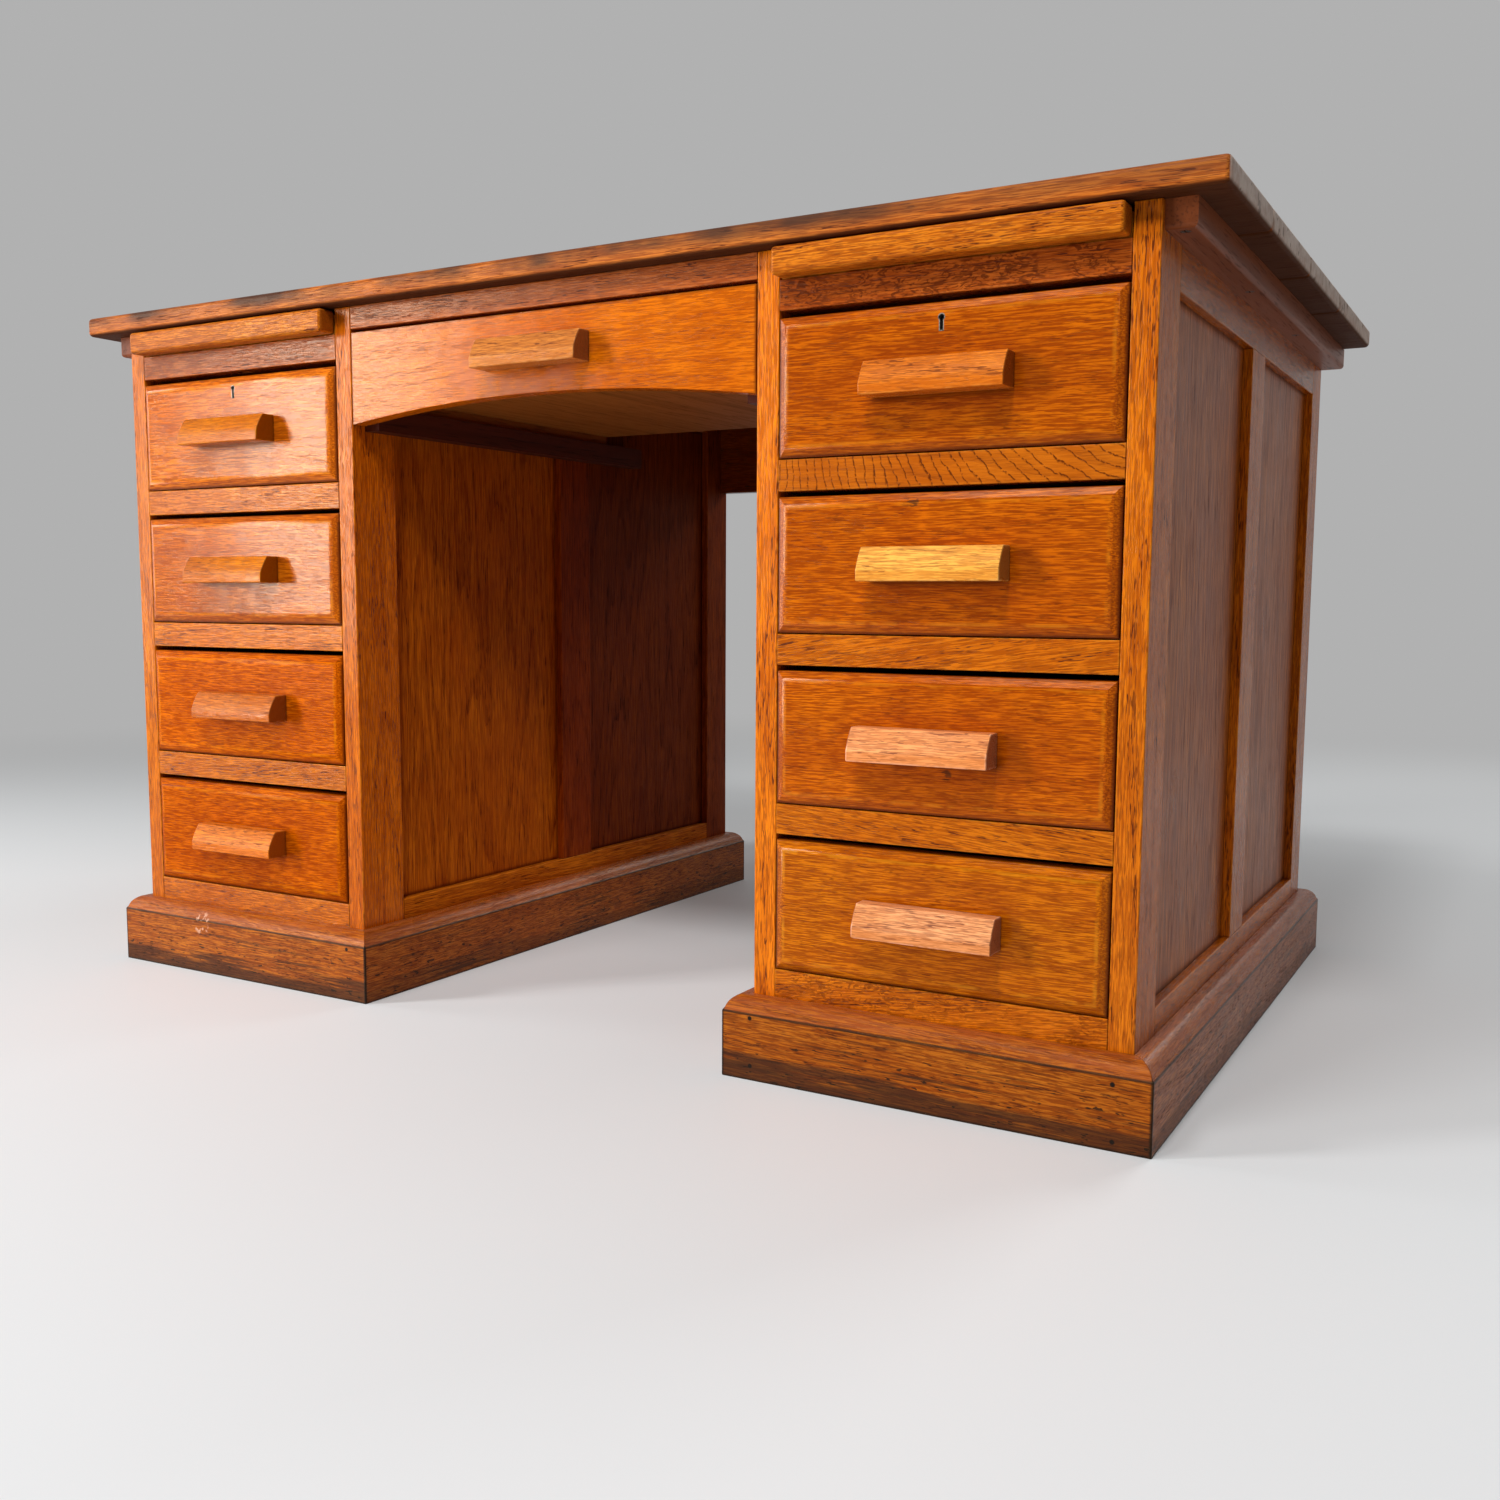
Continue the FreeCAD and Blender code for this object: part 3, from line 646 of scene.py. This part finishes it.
top_oak = oak_finish("top_oak", roughness=0.34, shine=0.12, lines=0.7, pores=0.95, dashes=30,
                     wear=stained_and_shaded_top)
depth = top_high.y - top_low.y
edges = [top_low.y] + [top_low.y + share * depth for share in seam_shares] + [top_high.y]
boards = []
for start, end in zip(edges, edges[1:]):
    board = block("board", (top_low.x, start, top_low.z), (top_high.x, end, top_high.z))
    pick(board, on_rim, "EDGE")
    bpy.ops.object.mode_set(mode="OBJECT")
    for edge in board.data.edges:
        first, second = (board.data.vertices[index].co for index in edge.vertices)
        level = abs(first.y - second.y) < top_radius
        if level and top_low.y + top_radius < first.y < top_high.y - top_radius:
            edge.select = False
    bpy.ops.object.mode_set(mode="EDIT")
    bpy.ops.mesh.bevel(offset=top_radius, segments=5, affect="EDGES")
    bpy.ops.object.mode_set(mode="OBJECT")
    ease_arrises(board, seam_ease, 2, 60)
    boards.append(mark_grain(board, along_x, top_stain))
glue_up("top_boards", boards, top_oak, "desktop_boards", "carcass")

# Cleats: oak battens under the ends of the top, rounded where hands and knees meet them, and held by
# slotted steel screws driven up from below.
cleat_stain = (0.24, 0.06, 0.018, 1)


def plain_oak(name, way, stain, roughness, shine=0.1):
    """Oak finish for a piece whose grain runs one way all over."""
    material = bpy.data.materials.new(name)
    material.use_nodes = True
    tree = material.node_tree
    shader = tree.nodes["Principled BSDF"]
    sheet = Finish(tree)
    place = sheet.node("ShaderNodeTexCoord", output="Object")
    stretch = [26 if part else 480 for part in way]
    slow = [2.5 if part else 90 for part in way]
    pore = sheet.node("ShaderNodeTexNoise", {}, {"Vector": place.vector("MULTIPLY", stretch), "Scale": 1.0})
    streak = sheet.node("ShaderNodeTexNoise", {}, {"Vector": place.vector("MULTIPLY", slow), "Scale": 1.0})
    dark = pore.between(0.55, 0.68) * 0.6 + streak.between(0.4, 0.7) * 0.4
    deep = tuple(0.45 * part for part in stain[:3]) + (1,)
    colour = sheet.node("ShaderNodeMix", {"data_type": "RGBA"}, {0: dark, 6: stain, 7: deep}, 2)
    bump = sheet.node("ShaderNodeBump", {}, {"Strength": 0.3, "Distance": 0.0006, "Height": 1 - dark})
    tree.links.new(colour.socket, shader.inputs["Base Color"])
    tree.links.new((roughness + dark * 0.2).socket, shader.inputs["Roughness"])
    tree.links.new(bump.socket, shader.inputs["Normal"])
    shader.inputs["Specular IOR Level"].default_value = shine
    return material


def dress(node, material):
    """Give a carried piece its finish in place of a plain one."""
    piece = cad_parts[node]
    for place in piece.material_slots:
        place.link = "OBJECT"
        place.material = material


def metal(name, colour, roughness):
    """Dull metal, spotted by age."""
    material = bpy.data.materials.new(name)
    material.use_nodes = True
    tree = material.node_tree
    shader = tree.nodes["Principled BSDF"]
    sheet = Finish(tree)
    place = sheet.node("ShaderNodeTexCoord", output="Object")
    spots = sheet.node("ShaderNodeTexNoise", {}, {"Vector": place, "Scale": 420.0, "Detail": 3.0})
    tarnish = spots.between(0.45, 0.65)
    dull = tuple(0.3 * part for part in colour[:3]) + (1,)
    paint = sheet.node("ShaderNodeMix", {"data_type": "RGBA"}, {0: tarnish, 6: colour, 7: dull}, 2)
    tree.links.new(paint.socket, shader.inputs["Base Color"])
    tree.links.new((roughness + tarnish * 0.25).socket, shader.inputs["Roughness"])
    shader.inputs["Metallic"].default_value = 1
    return material


dress("desktop_cleats", plain_oak("cleat_oak", along_y, cleat_stain, 0.36))
screw_steel = metal("screw_steel", (0.15, 0.13, 0.12, 1), 0.4)
dress("cleat_screws", screw_steel)

# Runners and stops: plain hardwood battens screwed and glued inside the pedestals and beside the
# kneehole, never varnished and rubbed smooth by the drawers.
runner_wood = plain_oak("runner_wood", along_y, (0.34, 0.19, 0.09, 1), 0.6)
for node in ("left_runners_and_stops", "right_runners_and_stops"):
    dress(node, runner_wood)
# The centre drawer's runners are near black: painted shade of the kneehole.
dress("centre_drawer_runners", plain_oak("centre_runner_wood", along_y, (0.08, 0.014, 0.005, 1), 0.5))

# Writing slides: a plain board that runs above the top drawer, with a thicker oak lip glued across its
# front end as a finger grip.
lip_depth = 0.022
lip_radius = 0.004
slide_thickness = 0.020
slide_stain = (0.54, 0.137, 0.006)
slide_oak = oak_finish("slide_oak", roughness=0.3, lines=0.75, pores=1.0)
for side in sides:
    node = f"{side}_slide"
    low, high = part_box(node)
    joint = low.y + lip_depth
    boards = [
        plank(low, (high.x, joint, high.z), along_x, slide_stain, lip_radius),
        plank((low.x, joint, low.z), (high.x, high.y, low.z + slide_thickness), along_y, slide_stain),
    ]
    glue_up(f"{side}_slide_boards", boards, slide_oak, node, node)

# Drawer fronts: oak boards bevelled round a raised field, the bevel's inner edge softened by sanding,
# rebated at the ends for the drawer sides and cut for a lock in the top drawers.
field_rise = 0.0045
field_rounding = 0.0028
bevel_width = 0.009
front_ease = 0.0009
lap_depth = 0.010
drawer_side = 0.012
keyhole_drop = 0.013
lining_radius = 0.0032
lining_slot = 0.0044
lining_length = 0.0112
drill_length = 0.05
lock_width, lock_height, lock_depth = 0.0444, 0.0362, 0.0102
front_stain = (0.515, 0.101, 0.0010)
front_stains = {
    "left_top": (0.60, 0.130, 0.0030), "left_second": (0.60, 0.125, 0.0025),
    "right_third": (0.555, 0.108, 0.0010), "right_bottom": (0.58, 0.135, 0.0014),
    "left_third": (0.60, 0.111, 0.0004), "left_bottom": (0.54, 0.098, 0.0003),
}
widest_rounding = 0.0005
front_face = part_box("right_third_drawer_front")[0].y
blemishes = [(0.433, front_face, 0.290), (0.393, front_face, 0.519), (0.399, front_face, 0.518)]
blemish_radius = 0.006
pull_shadow_fade = (0.0146, 0.0215)
pull_shadow_ends = (0.056, 0.066)


def bevelled_front(low, high):
    """Drawer front between two corners, the foremost face being the raised field."""
    front = block("board", (low.x, low.y + field_rise, low.z), high)
    face = low.y + field_rise
    pick(front, lambda point: abs(point.y - face) < overrun / 4, "FACE")
    bpy.ops.mesh.inset(thickness=bevel_width)
    bpy.ops.transform.translate(value=(0, -field_rise, 0))
    bpy.ops.object.mode_set(mode="OBJECT")
    pick(front, lambda point: abs(point.y - low.y) < overrun / 4, "EDGE")
    bpy.ops.mesh.bevel(offset=field_rounding, segments=5, affect="EDGES")
    bpy.ops.object.mode_set(mode="OBJECT")
    round_arrises(front, front_ease, 3, 40)
    return front


def rebate_ends(front, drawer, bottom):
    """Cut the laps for the drawer's sides into both ends of its front, from a given height upwards."""
    low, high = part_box(f"{drawer}_front")
    box_low, box_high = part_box(f"{drawer}_box")
    for end, side, inward in ((low.x, box_low.x, 1), (high.x, box_high.x, -1)):
        lap = sorted((end - inward * overrun, side + inward * drawer_side))
        corner = (lap[0], high.y - lap_depth, bottom)
        cut(front, block("rebate", corner, (lap[1], high.y + overrun, box_high.z)))


def wear_shade_and_highlight(wood, colour, gloss):
    """Dirt and painted shade of the gap along the outer edge and on the bevels, less on the top bevel,
    which reads lit from above; grime and painted shade round the pull, a painted shadow just below it, and
    varnish rubbed thin with a painted highlight along the field's edge.
    """
    room = wood.parts(wood.half.vector("SUBTRACT", wood.local.vector("ABSOLUTE")))
    rim = room[0].least(room[2])
    offsets = wood.parts(wood.local)
    aside, up = offsets[0], offsets[2]
    top = 1 - (wood.parts(wood.half)[2] - up).between(0.0085, 0.0096)
    # Outer edge darkened: dirt and painted shade of the gap, weaker along the top.
    edge = (1 - rim.between(0.0008, 0.0034)) * (1 - top * 0.6)
    # Bevels darkened in patches: dirt and painted shade, kept off the top bevel, which would be lit from
    # above.
    slope = (1 - rim.between(0.006, 0.009)) * wood.patches(26, 3).between(0.36, 0.62) * (1 - top * 0.9)
    # Pale line along the field's edge: rubbed varnish and a painted highlight, a little more on the top
    # bevel.
    ridge = rim.between(0.0072, 0.0088) * (1 - rim.between(0.0094, 0.0122))
    worn = ridge * (wood.patches(34, 3) + top * 0.1).between(0.42, 0.6)
    reach = wood.local.vector("MULTIPLY", (8.0, 0.0, 22.0)).vector("LENGTH", output="Value")
    # Darker round the pull: grime and painted shade.
    hand_grime_and_shade = (1 - reach.between(0.6, 1.7)) * wood.patches(40, 3).between(0.3, 0.7)
    colour = colour.to(wood.tint(0.5, 0.42, 0.4), slope * 0.4)
    colour = colour.to(wood.tint(1.3, 2.0, 6.0), worn * 0.5)
    colour = colour.to(wood.tint(0.5, 0.36, 0.5), hand_grime_and_shade * 0.4)
    colour = colour.to(wood.tint(0.16, 0.1, 0.2), edge * 0.8)
    below = 0 - up
    # A dark band just below the pull: painted shadow.
    pull_shadow = below.between(0.0, 0.01) * (1 - below.between(*pull_shadow_fade))
    pull_shadow = pull_shadow * (1 - aside.size().between(*pull_shadow_ends))
    colour = colour.to(wood.tint(0.26, 0.2, 0.3), pull_shadow * 0.7)
    blemish = wood.spots(blemishes, blemish_radius) * wood.fibres(420, 90, 2).between(0.45, 0.55)
    colour = colour.to((0.03, 0.012, 0.006, 1), blemish * 0.7)
    return colour, gloss + edge * 0.1


front_oak = oak_finish("front_oak", roughness=0.13, shine=0.18, lines=0.8, pores=0.6, rings=0.2, relief=0.4,
                       wear=wear_shade_and_highlight)
dull_front_oak = oak_finish("dull_front_oak", roughness=0.2, shine=0.03, lines=0.8, pores=0.6, rings=0.2,
                            relief=0.4, wear=wear_shade_and_highlight)
dull_fronts = ("left_third", "left_bottom")
for side, level in itertools.product(sides, drawer_levels):
    name = f"{side}_{level}_drawer"
    low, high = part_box(f"{name}_front")
    front = bevelled_front(low, high)
    rebate_ends(front, name, low.z - overrun)
    if level == "top":
        middle = (low.x + high.x) / 2
        room = Vector((lock_width / 2, 0, 0))
        corner = Vector((middle, high.y - lock_depth, high.z - lock_height)) - room
        cut(front, block("lock_room", corner, Vector((middle, high.y + overrun, high.z + overrun)) + room))
        hole = high.z - keyhole_drop
        bpy.ops.mesh.primitive_cylinder_add(
            vertices=32, radius=lining_radius, depth=drill_length,
            location=(middle, low.y, hole), rotation=(math.pi / 2, 0, 0))
        bpy.ops.object.transform_apply(location=True, rotation=True, scale=True)
        cut(front, bpy.context.object)
        corner = (middle - lining_slot / 2, low.y - overrun, hole - lining_length)
        cut(front, block("slot", corner, (middle + lining_slot / 2, high.y + overrun, hole)))
    bpy.ops.object.select_all(action="DESELECT")
    front.select_set(True)
    bpy.ops.object.shade_smooth_by_angle(angle=smooth_below)
    for face in front.data.polygons:
        face.use_smooth = face.area < widest_rounding
    mark_grain(front, along_x, front_stains.get(f"{side}_{level}", front_stain))
    finish = dull_front_oak if f"{side}_{level}" in dull_fronts else front_oak
    glue_up(f"{name}_face", [front], finish, f"{name}_front", name)

# Pulls: short wedges of oak, thicker below, with a gently rounded slope for the fingers to pass over.
# Each is screwed on from inside the drawer and has its own colour from wear.
pull_arris = 0.009
pull_slope_back = 0.0105
pull_swell = 0.0012
pull_rows = 4
pull_ease = 0.0013


def fingered_and_shaded(wood, colour, gloss):
    """Slope rubbed dull by fingers; the upright lower edge still glossy, and darker and more orange as
    fresher varnish and painted shade beside the slope's sheen; ends darker as end grain and painted shade;
    dirt and painted shade at the back.
    """
    along, depth, rise = wood.parts(wood.local.vector("ADD", wood.half))
    edge = (1 - rise.between(pull_arris - 0.002, pull_arris + 0.001)) * (1 - wood.end_grain)
    back = wood.parts(wood.half)[1] * 2 - depth
    # Lower edge darker and more orange: fresher varnish and painted shade.
    colour = colour.to(wood.tint(0.95, 0.78, 0.5), edge * 0.4)
    # Ends darker: end grain and painted shade.
    colour = colour.to(wood.tint(0.32, 0.26, 0.3), wood.end_grain * 0.55)
    # Darker near the back, where the pull meets the front: dirt and painted shade.
    colour = colour.to(wood.tint(0.25, 0.18, 0.25), (1 - back.between(0.0006, 0.004)) * 0.6)
    return colour, gloss * (1 - edge * 0.55)


# The strong pale arrises of the pulls: wear and a painted highlight.
pull_oak = oak_finish("pull_oak", roughness=0.28, shine=0.15, lines=0.56, pores=0.85, rings=0.2, rub_and_glint=0.85,
                      wear=fingered_and_shaded)
pull_stains = {
    "left_top": (0.54, 0.135, 0.001), "left_second": (0.57, 0.140, 0.001),
    "left_third": (0.56, 0.130, 0.010), "left_bottom": (0.64, 0.150, 0.007),
    "right_top": (0.70, 0.18, 0.014), "right_second": (0.82, 0.34, 0.05),
    "right_third": (0.82, 0.30, 0.10), "right_bottom": (0.82, 0.31, 0.11),
    "centre": (0.56, 0.185, 0.036),
}
for name, stain in pull_stains.items():
    drawer = f"{name}_drawer"
    low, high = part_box(f"{drawer}_pull")
    pull = block("pull", low, high)
    rise = high.z - low.z - pull_arris
    rows = [(low.z + pull_arris + rise * row / pull_rows, row / pull_rows) for row in range(pull_rows + 1)]
    for height, share in rows[:-1]:
        slice_across(pull, (0, 0, height), (0, 0, 1))
    for height, share in rows[1:]:
        back = pull_slope_back * share - pull_swell * 4 * share * (1 - share)
        pick(pull, lambda point: point.y < low.y + pull_ease and abs(point.z - height) < pull_ease / 4)
        bpy.ops.transform.translate(value=(0, back, 0))
        bpy.ops.object.mode_set(mode="OBJECT")
    ease_arrises(pull, pull_ease, 3, 25)
    mark_grain(pull, along_x, stain)
    glue_up(f"{drawer}_handle", [pull], pull_oak, f"{drawer}_pull", drawer)
    dress(f"{drawer}_pull_screws", screw_steel)

# Centre drawer: a flat oak front over the kneehole, sawn to a shallow arch along its lower edge, which
# leaves room for the knees.
arch_rise = 0.0175
arch_columns = 36
centre_stain = (0.59, 0.119, 0.0015)


def thumbed_and_shaded(wood, colour, gloss):
    """Varnish worn to a reddish patch below and left of the pull, and dirt and painted shade of the gap
    along the edges.
    """
    # Darker along the edges: dirt and painted shade of the gap.
    edge = 1 - wood.from_edge.between(0.0008, 0.003)
    offset = wood.local.vector("ADD", (0.03, 0.0, 0.012))
    reach = offset.vector("MULTIPLY", (9.0, 0.0, 24.0)).vector("LENGTH", output="Value")
    patch = (1 - reach.between(0.5, 1.2)) * wood.patches(45, 4).between(0.4, 0.6)
    colour = colour.to((0.42, 0.09, 0.03, 1), patch * 0.6)
    colour = colour.to(wood.tint(0.2, 0.14, 0.2), edge * 0.6)
    return colour, gloss + patch * 0.1


centre_oak = oak_finish("centre_oak", roughness=0.14, shine=0.16, lines=0.55, pores=0.5, rings=0.2,
                        relief=0.4, wear=thumbed_and_shaded)
low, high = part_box("centre_drawer_front")
front = block("board", low, high)
half = (high.x - low.x) / 2
arch_radius = (half * half + arch_rise * arch_rise) / (2 * arch_rise)
places = [low.x + 2 * half * column / arch_columns for column in range(1, arch_columns)]
for place in places:
    slice_across(front, (place, 0, 0), (1, 0, 0))
for place in places:
    rise = math.sqrt(arch_radius * arch_radius - place * place) - arch_radius + arch_rise
    pick(front, lambda point: point.z < low.z + arch_rise and abs(point.x - place) < half / arch_columns)
    bpy.ops.transform.translate(value=(0, 0, rise))
    bpy.ops.object.mode_set(mode="OBJECT")
rebate_ends(front, "centre_drawer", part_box("centre_drawer_box")[0].z)
ease_arrises(front, front_ease, 2, 40)
mark_grain(front, along_x, centre_stain)
glue_up("centre_drawer_face", [front], centre_oak, "centre_drawer_front", "centre_drawer")

# Drawer boxes: two sides, a back and a thin bottom of plain pale wood, glued behind the fronts and left
# unfinished. The centre drawer's box is darker and warmer: painted shade, like the rest of the kneehole.
drawer_wood = plain_oak("drawer_wood", along_y, (0.27, 0.13, 0.05, 1), 0.62)
for name in pull_stains:
    dress(f"{name}_drawer_box", drawer_wood)
dress("centre_drawer_box", plain_oak("centre_box_wood", along_y, (0.27, 0.079, 0.011, 1), 0.62, 0.04))

# Locks: a brass case let into the back of each top drawer front, a brass lining in the keyhole and a
# square bolt that rises into the rail above.
lock_brass = metal("lock_brass", (0.26, 0.22, 0.18, 1), 0.5)
for side in sides:
    dress(f"{side}_lock_case", lock_brass)
    dress(f"{side}_lock_bolt", lock_brass)

# Floor and backdrop: a plain pale floor that runs into an even pale background, with soft lights to the
# left, above and behind.
floor_grey = (0.80, 0.82, 0.83, 1)
backdrop_grey = (0.44, 0.44, 0.44, 1)
ambient_grey = (0.08, 0.08, 0.08, 1)
fade_start, fade_end = 1.2, 3.8


def seen_rays(sheet):
    """1 where a camera, a reflection or a view through glass looks, 0 where light is gathered."""
    path = sheet.node("ShaderNodeLightPath", output="Is Camera Ray")
    seen = path
    for ray in ("Is Glossy Ray", "Is Transmission Ray"):
        seen = seen.most(Finish(sheet.tree, path.socket.node.outputs[ray]))
    return seen


bpy.ops.object.select_all(action="DESELECT")
bpy.ops.mesh.primitive_plane_add(size=60)
floor = bpy.context.object
floor.name = "floor"
paint = bpy.data.materials.new("floor_paint")
paint.use_nodes = True
tree = paint.node_tree
sheet = Finish(tree)
tree.nodes["Principled BSDF"].inputs["Base Color"].default_value = floor_grey
tree.nodes["Principled BSDF"].inputs["Roughness"].default_value = 0.6
place = sheet.node("ShaderNodeTexCoord", output="Object")
far = place.vector("LENGTH", output="Value").between(fade_start, fade_end) * seen_rays(sheet)
haze = sheet.node("ShaderNodeEmission", {}, {"Color": backdrop_grey})
surface = Finish(tree, tree.nodes["Principled BSDF"].outputs["BSDF"])
blend = sheet.node("ShaderNodeMixShader", {}, {0: far, 1: surface, 2: haze})
tree.links.new(blend.socket, tree.nodes["Material Output"].inputs["Surface"])
floor.data.materials.append(paint)
world = bpy.data.worlds.new("studio")
bpy.context.scene.world = world
world.use_nodes = True
sky = Finish(world.node_tree)
glow = sky.node("ShaderNodeMix", {"data_type": "RGBA"},
                {0: seen_rays(sky), 6: ambient_grey, 7: backdrop_grey}, 2)
world.node_tree.links.new(glow.socket, world.node_tree.nodes["Background"].inputs["Color"])


def softbox(name, place, target, width, height, power):
    """Rectangular soft light that faces a target."""
    bpy.ops.object.light_add(type="AREA", location=place)
    lamp = bpy.context.object
    lamp.name = name
    lamp.data.shape = "RECTANGLE"
    lamp.data.size = width
    lamp.data.size_y = height
    lamp.data.energy = power
    lamp.rotation_euler = (Vector(target) - Vector(place)).to_track_quat("-Z", "Y").to_euler()


softbox("window", (-2.7, -2.76, 1.2), (-0.1, -0.35, 0.45), 0.65, 1.9, 104)
softbox("side", (-3.3, -1.0, 1.05), (0.0, -0.3, 0.5), 0.7, 1.8, 22)
softbox("ceiling", (-0.3, -1.9, 2.75), (0.1, -0.35, 0.3), 0.8, 0.8, 20)
softbox("room", (0.58, -1.9, 2.46), (0.0, -0.3, 0.4), 0.4, 0.4, 35)
softbox("behind", (1.4, 3.2, 2.3), (0.0, 0.3, 0.4), 1.6, 1.2, 42)

# Camera: a short lens at knee height to the right of the kneehole, turned towards the left pedestal and
# tipped a little down.
camera_place = (0.8862, -1.49895, 0.4365)
camera_yaw, camera_pitch, camera_roll = (math.radians(angle) for angle in (-29.98, 6.01, 0.28))
bpy.ops.object.camera_add()
camera = bpy.context.object
camera.data.lens = 34.35
camera.data.sensor_width = 36
heading = Vector((math.sin(camera_yaw) * math.cos(camera_pitch),
                  math.cos(camera_yaw) * math.cos(camera_pitch), -math.sin(camera_pitch)))
right = Vector((math.cos(camera_yaw), -math.sin(camera_yaw), 0))
up = right.cross(heading)
turned_right = right * math.cos(camera_roll) + up * math.sin(camera_roll)
turned_up = up * math.cos(camera_roll) - right * math.sin(camera_roll)
turn = Matrix((turned_right, turned_up, -heading)).transposed()
camera.matrix_world = Matrix.Translation(camera_place) @ turn.to_4x4()
bpy.context.scene.camera = camera
bpy.context.scene.view_settings.view_transform = "Standard"
